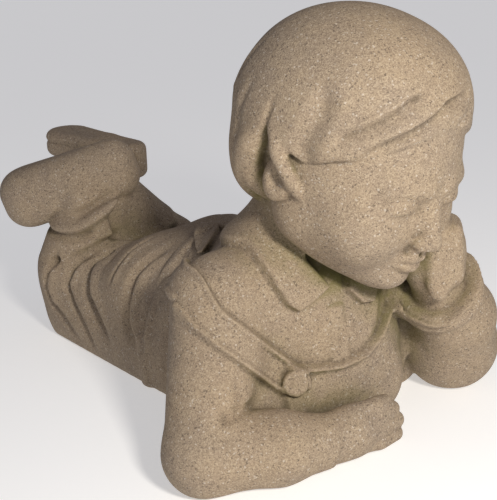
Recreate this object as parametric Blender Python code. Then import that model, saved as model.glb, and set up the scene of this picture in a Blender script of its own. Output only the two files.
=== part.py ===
"""Boy lying on his front with his chin on his fist: one cast-stone garden figure.

The figure is modelled as a distance field in figure units and meshed as one closed solid.
Axes in the field: +X his left, +Y toward his feet, +Z up, with the neck above the origin.
"""
import bpy
import numpy as np

LENGTH = 0.440
LENGTH_IN_UNITS = 3.52
UNIT = LENGTH / LENGTH_IN_UNITS
MIDDLE = (0.0335, 1.0635)
CELL = 0.0235
TRIANGLES = 9400
STONE = (0.44, 0.37, 0.28)

HEAD_AT = (0.172, -0.194, 1.425)
HEAD_YAW, HEAD_PITCH, HEAD_ROLL = 13, 22, 4.5
HAIR_CENTRE, HAIR_RADII = (0.0, 0.07, 0.08), (0.497, 0.528, 0.478)
SLEEVE_STEP = 0.030
COLLAR_STEP = 0.042
STRAP_HALF = 0.078


def vec(*values):
    return np.array(values, np.float32)


def turned(yaw=0.0, pitch=0.0, roll=0.0):
    """Axes (as columns) of a frame turned about z, then tipped about x, then about y."""
    y, p, r = np.radians([yaw, pitch, roll])
    about_z = np.array([[np.cos(y), -np.sin(y), 0], [np.sin(y), np.cos(y), 0], [0, 0, 1]])
    about_x = np.array([[1, 0, 0], [0, np.cos(p), -np.sin(p)], [0, np.sin(p), np.cos(p)]])
    about_y = np.array([[np.cos(r), 0, np.sin(r)], [0, 1, 0], [-np.sin(r), 0, np.cos(r)]])
    return (about_z @ about_x @ about_y).astype(np.float32)


def smooth(x, low, high):
    t = np.clip((x - low) / (high - low), 0, 1)
    return t * t * (3 - 2 * t)


def union(a, b, k=0.0):
    if k == 0:
        return np.minimum(a, b)
    h = np.maximum(k - np.abs(a - b), 0) / k
    return np.minimum(a, b) - h * h * k * 0.25


def both(a, b, k=0.0):
    return -union(-a, -b, k)


def cut(a, b, k=0.0):
    return both(a, -b, k)


def blob(p, centre, radii, axes=None):
    q = p - vec(*centre)
    if axes is not None:
        q = q @ axes
    r = np.broadcast_to(np.float32(radii), 3)
    a = np.sqrt(((q / r) ** 2).sum(1))
    b = np.sqrt(((q / (r * r)) ** 2).sum(1))
    return a * (a - 1) / np.maximum(b, 1e-6)


def full_blob(p, centre, radii, power):
    """Ellipsoid with fuller corners: power 2 is the plain one."""
    r = np.float32(radii)
    q = np.abs((p - vec(*centre)) / r)
    a = np.maximum((q ** power).sum(1), 1e-6) ** (1 / power)
    slope = np.sqrt(((q ** (power - 1) / r) ** 2).sum(1)) * a ** (1 - power)
    return (a - 1) / np.maximum(slope, 0.5)


def bone(p, a, b, ra, rb=None):
    """Round cone from a to b; works in two or three dimensions."""
    rb = ra if rb is None else rb
    a, b = np.float32(a), np.float32(b)
    along = b - a
    t = np.clip((p - a) @ along / (along @ along), 0, 1)
    d = p - a - t[:, None] * along
    return np.sqrt((d * d).sum(1)) - (ra + (rb - ra) * t)


def chain(p, points, radii, k=0.0):
    d = None
    for i in range(len(points) - 1):
        link = bone(p, points[i], points[i + 1], radii[i], radii[i + 1])
        d = link if d is None else union(d, link, k)
    return d


def polygon(u, v, corners):
    """Signed distance to a closed outline in a two-number chart."""
    d = np.full(u.shape, 9.0, np.float32)
    sign = np.ones(u.shape, np.float32)
    for (ax, ay), (bx, by) in zip(corners, corners[1:] + corners[:1]):
        ex, ey = bx - ax, by - ay
        wx, wy = u - ax, v - ay
        t = np.clip((wx * ex + wy * ey) / (ex * ex + ey * ey), 0, 1)
        d = np.minimum(d, np.hypot(wx - ex * t, wy - ey * t))
        crossing = ((ay > v) != (by > v)) & (wx < ex * wy / (ey if ey else 1e-9))
        sign = np.where(crossing, -sign, sign)
    return d * sign


def line(u, v, points, width, taper=True):
    """Bump of height 1 along a chart line, fading over width and toward both ends."""
    near = np.full(u.shape, 9.0, np.float32)
    share = np.zeros(u.shape, np.float32)
    count = len(points) - 1
    for i in range(count):
        (ax, ay), (bx, by) = points[i], points[i + 1]
        ex, ey = bx - ax, by - ay
        t = np.clip(((u - ax) * ex + (v - ay) * ey) / (ex * ex + ey * ey), 0, 1)
        d = np.hypot(u - ax - ex * t, v - ay - ey * t)
        closer = d < near
        near = np.where(closer, d, near)
        share = np.where(closer, (i + t) / count, share)
    bump = 1 - smooth(near, 0, width)
    if taper:
        bump = bump * smooth(np.minimum(share, 1 - share), -0.06, 0.22)
    return bump


def within(p, centre, reach, field):
    """The field where p is within reach of centre, and a plain distance outside."""
    q = p - vec(*centre)
    away = np.sqrt((q * q).sum(1))
    d = away - reach * 0.8
    inside = away < reach
    if inside.any():
        d[inside] = field(p[inside])
    return d


def relief_where(p, keep, field):
    relief = np.zeros(len(p), np.float32)
    if keep.any():
        relief[keep] = field(p[keep])
    return relief


def limb(p, a, b, up=(0, 0, 1)):
    """Chart of a limb: distance from a toward b, turn about it in degrees, and distance off its axis."""
    a, b, up = vec(*a), vec(*b), vec(*up)
    axis = (b - a) / np.linalg.norm(b - a)
    side = np.cross(axis, up)
    side /= np.linalg.norm(side)
    top = np.cross(side, axis)
    q = p - a
    across, above = q @ side, q @ top
    return q @ axis, np.degrees(np.arctan2(across, above)), np.hypot(across, above)


def face(q):
    """Calm child's face on a head of about 1.17 units from chin to crown; q is in head axes."""
    m = np.stack([np.abs(q[:, 0]), q[:, 1], q[:, 2]], 1)
    d = blob(q, (0, 0.04, 0.04), (0.45, 0.50, 0.46))
    d = union(d, blob(q, (0, -0.09, -0.17), (0.395, 0.385, 0.40)), 0.10)
    d = union(d, bone(m, (0.25, -0.02, -0.34), (0.06, -0.29, -0.475), 0.13, 0.105), 0.12)
    d = union(d, blob(m, (0.20, -0.285, -0.275), (0.155, 0.15, 0.15)), 0.12)
    d = union(d, blob(q, (0, -0.375, -0.50), (0.085, 0.08, 0.075)), 0.09)
    d = cut(d, blob(m, (0.165, -0.53, -0.100), (0.12, 0.080, 0.065)), 0.10)
    d = union(d, bone(m, (0.08, -0.445, -0.030), (0.23, -0.395, -0.030), 0.028, 0.024), 0.09)
    d = union(d, bone(q, (0, -0.450, -0.09), (0, -0.528, -0.262), 0.032, 0.042), 0.06)
    d = union(d, blob(m, (0.044, -0.500, -0.278), (0.034, 0.042, 0.030)), 0.03)
    d = cut(d, blob(m, (0.024, -0.522, -0.306), (0.016, 0.026, 0.010)), 0.015)
    ball = blob(m, (0.160, -0.388, -0.115), (0.088, 0.062, 0.056))
    lid_line = q[:, 2] + 0.130 + 1.8 * (m[:, 0] - 0.160) ** 2
    upper = both(ball - 0.014, -lid_line, 0.010)
    lower = both(ball - 0.008, lid_line + 0.026, 0.012)
    d = union(d, ball, 0.03)
    d = union(d, union(upper, lower), 0.016)
    upper_lip = [(0.0, -0.478, -0.368), (0.028, -0.476, -0.364), (0.105, -0.405, -0.386)]
    lower_lip = [(0.0, -0.470, -0.416), (0.030, -0.462, -0.413), (0.095, -0.405, -0.396)]
    lips = union(chain(m, upper_lip, [0.026, 0.027, 0.012], 0.01),
                 chain(m, lower_lip, [0.030, 0.028, 0.012], 0.01), 0.004)
    d = union(d, lips, 0.03)
    dip = line(q[:, 0], q[:, 2], [(0, -0.318), (0, -0.345)], 0.022, False)
    d = d + 0.010 * dip * smooth(-q[:, 1], 0.2, 0.3)
    ear = blob(m, (0.425, 0.04, -0.16), (0.05, 0.085, 0.125), turned(0, 12, 0))
    ear = cut(ear, blob(m, (0.475, 0.02, -0.15), (0.03, 0.05, 0.08), turned(0, 12, 0)), 0.02)
    return union(d, ear, 0.02)


# Lower edge of the hair: turn in degrees from the front, and height.
FRINGE = [(-180, -0.45), (-150, -0.47), (-126, -0.45), (-116, -0.32), (-108, -0.14), (-99, 0.00), (-90, 0.02),
          (-83, -0.02), (-72, -0.045), (-63, -0.01), (-56, 0.025), (-47, 0.05), (-36, 0.115),
          (-22, 0.17), (-11, 0.20), (10, 0.22), (25, 0.19), (36, 0.15), (44, 0.12), (56, 0.06),
          (70, -0.02), (80, -0.05), (90, -0.02),
          (99, -0.02), (108, -0.14), (116, -0.32), (126, -0.45), (150, -0.47), (180, -0.45)]
# Each lock: points (turn, height), its half width and its lift off the hair at each.
LOCKS = [([(-90, 0.03), (-86, -0.04), (-80, -0.10), (-74, -0.165), (-68, -0.23)],
          [0.024, 0.036, 0.040, 0.038, 0.018], [-0.020, 0.0, 0.010, 0.020, 0.026]),
         ([(90, 0.03), (86, -0.04), (80, -0.10), (74, -0.165), (68, -0.23)],
          [0.024, 0.036, 0.040, 0.038, 0.018], [-0.020, 0.0, 0.010, 0.020, 0.026]),
         ([(-103, 0.00), (-108, -0.09), (-112, -0.17), (-112, -0.25), (-108, -0.32)],
          [0.045, 0.066, 0.074, 0.066, 0.040], [-0.045, -0.012, 0.010, 0.024, 0.026]),
         ([(103, 0.00), (108, -0.09), (112, -0.17), (112, -0.25), (108, -0.32)],
          [0.045, 0.066, 0.074, 0.066, 0.040], [-0.045, -0.012, 0.010, 0.024, 0.026]),
         ([(6, 0.26), (20, 0.225), (31, 0.18), (38, 0.145)],
          [0.052, 0.042, 0.026, 0.008], [-0.058, -0.038, -0.014, 0.008])]
# Each groove: points (turn, height), width, depth.
GROOVES = [([(-20, 0.37), (-32, 0.32), (-42, 0.24), (-52, 0.17), (-60, 0.10)], 0.045, 0.026),
           ([(22, 0.36), (-7, 0.32), (-26, 0.22), (-37, 0.158), (-47, 0.066)], 0.040, 0.026),
           ([(-76, 0.44), (-73, 0.36), (-70, 0.26), (-68, 0.16), (-69, 0.05), (-72, -0.05)], 0.130, 0.014),
           ([(36, 0.38), (18, 0.29), (4, 0.235)], 0.040, 0.012)]


def rounded(steps, values):
    """Smooth curve through values at 0, 1, 2 and so on, read at steps."""
    v = np.array([2 * values[0] - values[1], *values, 2 * values[-1] - values[-2]], float)
    i = np.minimum(steps.astype(int), len(values) - 2)
    t = steps - i
    a, b, c, d = v[i], v[i + 1], v[i + 2], v[i + 3]
    return b + 0.5 * t * (c - a + t * (2 * a - 5 * b + 4 * c - d + t * (3 * (b - c) + d - a)))


def on_hair(turn, height, lift=0.0):
    """Point of the hair's ellipsoid at a turn from the front and a height, in head axes."""
    (cx, cy, cz), (rx, ry, rz) = HAIR_CENTRE, HAIR_RADII
    ring = np.sqrt(max(1 - ((height - cz) / rz) ** 2, 0.05))
    a = np.radians(turn)
    direction = np.array([np.sin(a) * rx, -np.cos(a) * ry])
    return (cx + direction[0] * ring + lift * np.sin(a), cy + direction[1] * ring - lift * np.cos(a), height)


def hair(q):
    cap = full_blob(q, HAIR_CENTRE, HAIR_RADII, 2.2)
    cap = union(cap, blob(q, (0.0, 0.20, -0.20), (0.455, 0.345, 0.29)), 0.10)
    turn = np.degrees(np.arctan2(q[:, 0] / HAIR_RADII[0], -(q[:, 1] - HAIR_CENTRE[1]) / HAIR_RADII[1]))
    edge = np.interp(turn, [a for a, _ in FRINGE], [z for _, z in FRINGE]).astype(np.float32)
    d = both(cap, (edge - q[:, 2]) * 0.7, 0.03)
    for points, widths, lifts in LOCKS:
        steps = np.linspace(0, len(points) - 1, 4 * len(points) - 3)
        turns, heights = [rounded(steps, values) for values in zip(*points)]
        path = [on_hair(*place) for place in zip(turns, heights, rounded(steps, lifts))]
        d = union(d, chain(q, path, rounded(steps, widths)), 0.03)
    reach = np.radians(turn) * 0.50
    outer = q[:, 2]
    for points, width, depth in GROOVES:
        path = [(np.radians(a) * 0.50, z) for a, z in points]
        d = d + depth * line(reach, outer, path, width)
        if width < 0.1:
            d = d - 0.3 * depth * line(reach, outer, [(x + 0.02, z + width) for x, z in path], width)
    for i in range(11):
        a = 96 + i * 16.5 + 3 * np.sin(2.1 * i)
        a = a - 360 if a > 180 else a
        lean = 4 * np.sin(1.3 * i)
        turns = np.radians([a, a + lean, a + 1.6 * lean]) * 0.50
        path = list(zip(turns, [0.26 + 0.10 * np.sin(1.7 * i + 1), -0.10, -0.45]))
        d = d + (0.012 + 0.004 * np.sin(2.7 * i)) * line(reach, outer, path, 0.032 + 0.010 * np.sin(i))
    return d


def head(p):
    q = (p - vec(*HEAD_AT)) @ turned(HEAD_YAW, HEAD_PITCH, HEAD_ROLL)
    return union(face(q), hair(q), 0.012)


R_SHOULDER, R_ELBOW = (-0.462, 0.12, 0.70), (-0.764, -0.20, 0.166)
R_FOREARM, R_WRIST = (-0.48, -0.342, 0.151), (-0.235, -0.385, 0.118)
R_ARM_RADII = [0.222, 0.186, 0.162, 0.122]
L_SHOULDER, L_ELBOW = (0.54, 0.18, 0.70), (0.785, -0.08, 0.22)
L_FOREARM, L_WRIST = (0.70, -0.20, 0.43), (0.54, -0.28, 0.62)
L_ARM_RADII = [0.220, 0.235, 0.205, 0.180]
R_HIP, R_KNEE = (-0.13, 1.35, 0.30), (-0.33, 2.12, 0.27)
R_SHIN, R_ANKLE = (-0.378, 2.09, 0.44), (-0.28, 1.98, 0.86)
L_HIP, L_KNEE = (0.23, 1.35, 0.30), (0.25, 2.13, 0.26)
L_SHIN, L_ANKLE = (0.21, 2.10, 0.38), (-0.165, 2.04, 0.90)
HIP_R, KNEE_R, SHIN_R, ANKLE_R = 0.36, 0.285, 0.268, 0.205
R_HEEL, R_TOE = (-0.15, 1.90, 1.052), (-0.580, 2.225, 0.915)
L_HEEL, L_TOE = (0.03, 2.06, 1.060), (-0.13, 2.66, 1.112)
R_SOLE_UP, L_SOLE_UP = (-0.35, 0.20, 0.9), (0.0, 0.0, 1.0)


def torso(p):
    d = blob(p, (0.03, 0.16, 0.42), (0.46, 0.37, 0.50))
    d = union(d, blob(p, (0.16, 0.06, 0.22), (0.26, 0.25, 0.36)), 0.15)
    d = union(d, blob(p, (-0.44, 0.10, 0.26), (0.28, 0.20, 0.36)), 0.10)
    d = union(d, blob(p, (0.52, 0.17, 0.28), (0.26, 0.18, 0.38)), 0.10)
    d = union(d, bone(p, (-0.50, -0.06, 0.26), (0.22, -0.10, 0.20), 0.15, 0.13), 0.10)
    d = union(d, bone(p, (-0.40, 0.15, 0.71), (0.43, 0.19, 0.71), 0.22), 0.25)
    d = union(d, bone(p, (0.0, 0.30, 0.78), (0.05, 0.08, 1.08), 0.22, 0.20), 0.14)
    d = union(d, bone(p, (0.0, 0.45, 0.46), (0.05, 1.25, 0.38), 0.38, 0.38), 0.25)
    d = union(d, blob(p, (0.03, 0.85, 0.26), (0.46, 0.60, 0.38)), 0.2)
    d = union(d, blob(p, (-0.14, 1.32, 0.37), (0.33, 0.38, 0.345)), 0.10)
    return union(d, blob(p, (0.25, 1.32, 0.42), (0.33, 0.37, 0.345)), 0.08)


def legs(p):
    right = bone(p, R_HIP, R_KNEE, HIP_R, KNEE_R)
    right = union(right, bone(p, (-0.13, 0.80, 0.08), (-0.30, 2.10, 0.12), HIP_R, 0.32), 0.10)
    right = union(right, bone(p, R_SHIN, R_ANKLE, SHIN_R + 0.004, ANKLE_R + 0.005), 0.12)
    left = bone(p, L_HIP, L_KNEE, HIP_R, KNEE_R - 0.005)
    left = union(left, bone(p, (0.20, 0.80, 0.08), (0.22, 2.08, 0.08), HIP_R - 0.01, 0.28), 0.10)
    left = union(left, bone(p, L_SHIN, L_ANKLE, SHIN_R - 0.006, ANKLE_R - 0.025), 0.12)
    return union(right, left, 0.06)


def shoe(p, heel, toe, sole_up, half_thick, heel_r, ball_r, edge, thinning, sole=0.0):
    """Rounded shoe from heel to toe centre, its sole facing sole_up and its vamp thinning to the toe."""
    heel, toe = vec(*heel), vec(*toe)
    length = float(np.linalg.norm(toe - heel))
    along = (toe - heel) / length
    across = np.cross(vec(*sole_up), along)
    across /= np.linalg.norm(across)
    up = np.cross(along, across)
    q = p - heel
    u, v, w = q @ along, q @ across, q @ up
    waist_r = (heel_r + ball_r) * 0.46
    spots = [(0, 0), (length * 0.45, 0), (length, 0)]
    outline = chain(np.stack([u, v], 1), spots, [heel_r, waist_r, ball_r], 0.05)
    thin = thinning * half_thick * smooth(u, 0.15 * length, length)
    a, b = outline + edge, np.abs(w - thin) - half_thick + thin + edge
    d = np.minimum(np.maximum(a, b), 0) + np.hypot(np.maximum(a, 0), np.maximum(b, 0)) - edge
    if sole:
        seam = w - half_thick + sole
        d = d - 0.010 * smooth(seam, -0.012, 0.012)
        d = d + 0.012 * (1 - smooth(np.abs(seam + 0.012), 0, 0.022)) * smooth(outline, -0.06, -0.02)
    return d


def feet(p):
    right = shoe(p, R_HEEL, R_TOE, R_SOLE_UP, 0.188, 0.150, 0.197, 0.15, 0.0)
    left = shoe(p, L_HEEL, L_TOE, L_SOLE_UP, 0.115, 0.115, 0.158, 0.05, 0.25, 0.070)
    return union(right, left, 0.02)


def sleeves(p):
    right = chain(p, [R_SHOULDER, R_ELBOW, R_FOREARM, R_WRIST], R_ARM_RADII, 0.05)
    past_wrist, _, _ = limb(p, R_WRIST, R_FOREARM)
    right = both(right, -past_wrist, 0.012)
    left = chain(p, [L_SHOULDER, L_ELBOW, L_FOREARM, L_WRIST], L_ARM_RADII, 0.05)
    past_wrist, _, off = limb(p, L_WRIST, L_FOREARM)
    left = both(left, -past_wrist, 0.03)
    rim = np.hypot(off - 0.170, past_wrist - 0.035) - 0.042
    return union(right, union(left, rim, 0.02), 0.03)


# Fingers of the resting hand: height, how far the tip reaches, and radius.
FINGERS = [(0.046, 0.128, 0.047), (0.112, 0.138, 0.048), (0.174, 0.118, 0.045), (0.222, 0.078, 0.040)]


def hands(p):
    d = blob(p, (-0.10, -0.388, 0.124), (0.21, 0.090, 0.126))
    d = union(d, bone(p, (-0.32, -0.372, 0.122), (-0.12, -0.388, 0.120), 0.118, 0.104), 0.05)
    for z, tip, r in FINGERS:
        joints = [(-0.14, -0.380, z * 0.95), (0.02, -0.418, z), (tip, -0.400, z - 0.006)]
        d = union(d, chain(p, joints, [r * 0.8, r + 0.003, r * 0.9]), 0.012)
    fist = blob(p, (0.475, -0.315, 0.835), (0.165, 0.145, 0.195))
    fist = union(fist, bone(p, L_WRIST, (0.475, -0.30, 0.84), 0.13, 0.13), 0.05)
    for i in range(4):
        z = 0.955 - 0.070 * i
        joints = [(0.57, -0.34, z), (0.50, -0.428, z - 0.01), (0.385, -0.425, z - 0.02)]
        fist = union(fist, chain(p, joints, [0.048, 0.047, 0.040]), 0.034)
    fist = union(fist, bone(p, (0.55, -0.34, 0.76), (0.40, -0.435, 0.685), 0.055, 0.045), 0.03)
    return union(d, fist, 0.02)


# Folds of the seat and thighs: points (distance along the body, turn from the top), width, depth.
SEAT_AXIS = ((0.05, 0.0, 0.30), (0.05, 1.0, 0.30))
SEAT_FOLDS = [([(0.70, -28), (0.88, -40), (0.97, -55), (1.02, -71), (1.05, -88), (1.06, -112)], 0.070, 0.030),
              ([(1.12, -18), (1.22, -32), (1.27, -48), (1.28, -63), (1.26, -80)], 0.050, 0.026),
              ([(1.36, -40), (1.42, -52), (1.44, -66)], 0.035, 0.016),
              ([(1.44, -34), (1.53, -50), (1.57, -66), (1.57, -82), (1.54, -97), (1.49, -112)], 0.055, 0.032),
              ([(1.70, -54), (1.74, -66), (1.74, -80), (1.69, -97)], 0.045, 0.026),
              ([(1.76, 6), (1.74, -18), (1.76, -38), (1.84, -54), (1.94, -68), (1.98, -82), (1.95, -104)],
               0.060, 0.045)]
SHIN_AXIS = ((-0.06, 2.10, 0.28), (-0.18, 2.00, 0.90))
# Folds round the shins: points (turn from the front, distance up the shin), width, depth.
SHIN_FOLDS = [([(100, 0.50), (75, 0.52), (45, 0.50), (20, 0.46), (-10, 0.40), (-45, 0.345), (-85, 0.33),
                (-125, 0.35), (-150, 0.38)], 0.050, -0.028),
              ([(40, 0.41), (0, 0.33), (-30, 0.285), (-65, 0.262), (-100, 0.265), (-135, 0.29)],
               0.035, 0.026),
              ([(90, 0.38), (50, 0.33), (15, 0.24), (-15, 0.17)], 0.055, -0.020),
              ([(90, 0.27), (50, 0.22), (15, 0.13), (-12, 0.07)], 0.055, -0.022),
              ([(90, 0.16), (55, 0.11), (25, 0.03)], 0.050, -0.020)]


def seat_folds(p):
    """Nested folds round the outer side of the thighs, deepest in the hollow of the knee."""
    along, turn, _ = limb(p, *SEAT_AXIS)
    relief = np.zeros(len(p), np.float32)
    for side, shift, size in ((1, 0.0, 1.0), (-1, 0.05, 0.9)):
        v = turn * side * 0.0075
        for points, width, depth in SEAT_FOLDS:
            path = [(y + shift, a * 0.0075) for y, a in points]
            relief = relief + depth * size * line(along, v, path, width)
            ridge = [(y - 1.25 * width, a) for y, a in path]
            relief = relief - 0.45 * depth * size * line(along, v, ridge, width * 1.1)
    return relief


def shin_folds(p):
    height, turn, off = limb(p, *SHIN_AXIS, up=(0, -1, 0))
    u = turn * 0.0055
    relief = np.zeros(len(p), np.float32)
    for points, width, depth in SHIN_FOLDS:
        relief = relief + depth * line(u, height, [(a * 0.0055, h) for a, h in points], width)
    return relief * (1 - smooth(off, 0.46, 0.60))


BUTTON_AT = (-0.290, -0.222, 0.362)
# Creases of the right sleeve at the inner elbow and soft folds of the shirt front: path, width, depth.
CREASES = [([(-0.43, -0.20, 0.31), (-0.52, -0.218, 0.331), (-0.623, -0.288, 0.352), (-0.70, -0.300, 0.350)],
            0.050, 0.020),
           ([(-0.605, -0.249, 0.451), (-0.590, -0.255, 0.400), (-0.633, -0.284, 0.370)], 0.040, 0.012),
           ([(-0.715, -0.276, 0.363), (-0.759, -0.318, 0.324), (-0.746, -0.358, 0.288)], 0.060, 0.012)]
CHEST_FOLDS = [([(0.04, 0.62), (0.00, 0.52), (-0.03, 0.43)], 0.040, -0.010),
               ([(0.27, 0.66), (0.21, 0.54), (0.13, 0.46)], 0.045, 0.014),
               ([(0.30, 0.34), (0.18, 0.31), (0.06, 0.27)], 0.060, -0.012),
               ([(0.33, 0.25), (0.20, 0.22), (0.08, 0.21)], 0.050, -0.010)]
# Braces: their middle lines seen from the front (x, z) and from above (x, y), which meet over the shoulders.
CREST = 0.09
BRACES_FRONT = [[(-0.262, 0.347), (-0.590, 0.675), (-0.640, 0.740), (-0.655, 0.830), (-0.655, 1.000)],
                [(0.410, 0.560), (0.600, 0.720), (0.655, 0.790), (0.668, 0.870), (0.668, 1.000)]]
BRACES_ABOVE = [[(-0.655, -0.10), (-0.655, 0.16), (-0.600, 0.30), (-0.030, 0.96)],
                [(0.668, -0.10), (0.668, 0.16), (0.610, 0.30), (0.070, 0.96)]]
BIB = [(-0.34, -0.10), (-0.34, 0.30), (-0.29, 0.44), (-0.18, 0.405), (-0.04, 0.39), (0.10, 0.41),
       (0.22, 0.47), (0.34, 0.57), (0.43, 0.65), (0.52, 0.56), (0.52, -0.10)]
RIGHT_LEAF = [(-0.03, 0.755), (-0.12, 0.71), (-0.205, 0.672), (-0.25, 0.71), (-0.285, 0.80), (-0.31, 0.93),
              (-0.28, 1.20), (-0.15, 1.20), (-0.10, 0.88)]
LEFT_LEAF = [(0.06, 0.72), (0.13, 0.635), (0.21, 0.625), (0.27, 0.71), (0.32, 0.84), (0.36, 0.98),
             (0.32, 1.20), (0.18, 1.20), (0.13, 0.90)]


def raised(region, height, edge=0.011):
    """Height of a cloth layer that covers the region and ends in a soft step."""
    return height * (1 - smooth(region, -edge, edge))


def bib_relief(p):
    """Bib with its hem, waistband and shirt front on the trunk."""
    x, y, z = p.T
    front = y - 0.22
    bib = np.maximum(polygon(x, z, BIB), front)
    relief = raised(bib, SLEEVE_STEP * 0.8)
    hem = np.maximum(np.abs(bib + 0.012) - 0.012, np.maximum(0.36 - z, x - 0.36))
    relief = relief + raised(hem, 0.016, 0.008)
    relief = np.maximum(relief, raised(np.abs(y - 0.965) - 0.040, SLEEVE_STEP * 0.6, 0.020))
    placket = np.maximum(np.abs(x + 0.015) - 0.045, np.maximum(np.maximum(0.38 - z, z - 0.66), front))
    relief = np.maximum(relief, raised(placket, 0.012))
    for path, width, depth in CHEST_FOLDS:
        relief = relief + depth * line(x, z, path, width) * (front < 0)
    return relief


def brace_relief(p):
    """Braces and shirt collar, which lie over the trunk and the sleeves."""
    x, y, z = p.T
    front, above = np.stack([x, z], 1), np.stack([x, y], 1)
    ahead = np.minimum.reduce([chain(front, path, [STRAP_HALF] * len(path)) for path in BRACES_FRONT])
    behind = np.minimum.reduce([chain(above, path, [STRAP_HALF] * len(path)) for path in BRACES_ABOVE])
    straps = np.where(y < CREST, np.maximum(ahead, 0.318 - z), np.maximum(behind, 0.6 - z))
    relief = raised(straps, SLEEVE_STEP)
    relief = relief - 0.007 * (1 - smooth(np.abs(straps - 0.024), 0.0, 0.018))
    relief = relief + 0.006 * (1 - smooth(np.abs(straps + 0.022), 0.0, 0.010))
    leaves = np.maximum(np.minimum(polygon(x, z, RIGHT_LEAF), polygon(x, z, LEFT_LEAF)), y - 0.12)
    ring = both(blob(p, (0.02, 0.22, 0.98), (0.36, 0.30, 0.20)), 0.06 - y, 0.02)
    return np.maximum(relief, raised(union(leaves, ring, 0.02), COLLAR_STEP, 0.009))


def button(p):
    q = p - vec(*BUTTON_AT)
    facing = vec(-0.35, -0.90, 0.20)
    facing /= np.linalg.norm(facing)
    height = q @ facing
    out = np.sqrt(np.maximum((q * q).sum(1) - height * height, 0))
    disc = both(np.abs(height) - 0.030, out - 0.060, 0.014)
    return union(disc, np.hypot(out - 0.046, height - 0.027) - 0.012, 0.008)


def arm_creases(p):
    relief = np.zeros(len(p), np.float32)
    for path, width, depth in CREASES:
        near = chain(p, path, [0.0] * len(path))
        relief = relief + depth * (1 - smooth(near, 0, width))
    return relief


HANDS_AT, FEET_AT = (0.20, -0.35, 0.50), (-0.25, 2.25, 1.0)


def figure(p):
    """Distance to the whole figure at points p, negative inside."""
    trunk = union(torso(p), legs(p), 0.12)
    y = p[:, 1]
    arms = sleeves(p)
    near = np.minimum(np.abs(trunk), np.abs(arms)) < 0.12
    trunk = trunk + relief_where(p, near & (y > 0.7), lambda q: seat_folds(q) + shin_folds(q))
    arms = arms + relief_where(p, near & (y < 0.0), arm_creases)
    upper = near & (y < 1.15)
    trunk = trunk - relief_where(p, upper, bib_relief)
    dressed = union(trunk, arms, 0.05) - relief_where(p, upper, brace_relief)
    dressed = union(dressed, within(p, BUTTON_AT, 0.15, button), 0.006)
    d = union(dressed, within(p, HANDS_AT, 0.75, hands), 0.015)
    d = union(d, within(p, HEAD_AT, 0.85, head), 0.03)
    d = union(d, within(p, FEET_AT, 0.80, feet), 0.025)
    return both(d, -p[:, 2], 0.02)


LOW, HIGH = (-1.15, -1.0, -0.06), (1.15, 3.0, 2.15)
COARSE = 6
ROUNDS = 3
BATCH = 300000


def sampled(field, points):
    return np.concatenate([field(points[i:i + BATCH]) for i in range(0, len(points), BATCH)])


def grid_of(cell):
    """Field values on a grid of the given cell, worked out only near the surface."""
    low = np.array(LOW)
    n = np.ceil((np.array(HIGH) - low) / (cell * COARSE)).astype(int) * COARSE + 1
    m = (n - 1) // COARSE + 1
    ticks = [low[i] + np.arange(m[i]) * cell * COARSE for i in range(3)]
    nodes = np.stack(np.meshgrid(*ticks, indexing='ij'), -1).reshape(-1, 3).astype(np.float32)
    rough = sampled(figure, nodes).reshape(m)
    near = np.abs(rough) < cell * COARSE * 2.1
    live = np.zeros(m - 1, bool)
    for i in (0, 1):
        for j in (0, 1):
            for k in (0, 1):
                live |= near[i:m[0] - 1 + i, j:m[1] - 1 + j, k:m[2] - 1 + k]
    band = np.zeros(n, bool)
    for i, j, k in np.argwhere(live) * COARSE:
        band[i:i + COARSE + 1, j:j + COARSE + 1, k:k + COARSE + 1] = True
    values = rough[:-1, :-1, :-1].repeat(COARSE, 0).repeat(COARSE, 1).repeat(COARSE, 2)
    values = np.pad(values, ((0, 1),) * 3, mode='edge').astype(np.float32)
    where = np.flatnonzero(band)
    points = (low + np.stack(np.unravel_index(where, n), 1) * cell).astype(np.float32)
    values.reshape(-1)[where] = sampled(figure, points)
    return joined(values, cell), low


def joined(values, cell):
    """Fills the grid points where the solid meets itself only along an edge or at a corner."""
    inside = values < 0
    corner = [(i, j, k) for i in (0, 1) for j in (0, 1) for k in (0, 1)]

    def part(i, j, k, span=(1, 1, 1)):
        starts = zip((i, j, k), span, inside.shape)
        return inside[tuple(slice(o, size - s + o) for o, s, size in starts)]

    changed = True
    while changed:
        changed = False
        for span in ((1, 1, 0), (1, 0, 1), (0, 1, 1)):
            first, second = [a for a in range(3) if span[a]]
            steps = np.eye(3, dtype=int)
            zero, one, two = (0, 0, 0), tuple(steps[first]), tuple(steps[second])
            three = tuple(steps[first] + steps[second])
            for pair, gap in (((zero, three), (one, two)), ((one, two), (zero, three))):
                bad = part(*pair[0], span) & part(*pair[1], span)
                bad = bad & ~part(*gap[0], span) & ~part(*gap[1], span)
                if bad.any():
                    part(*gap[0], span)[bad] = True
                    changed = True
        for here in corner[:4]:
            there = tuple(1 - o for o in here)
            rest = [c for c in corner if c not in (here, there)]
            alone = part(*here) & part(*there) & ~np.logical_or.reduce([part(*c) for c in rest])
            pierced = ~part(*here) & ~part(*there) & np.logical_and.reduce([part(*c) for c in rest])
            if alone.any() or pierced.any():
                part(*rest[0])[alone] = True
                part(*here)[pierced] = True
                changed = True
    filled = inside & (values >= 0)
    values[filled] = -0.2 * cell
    return values


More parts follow.
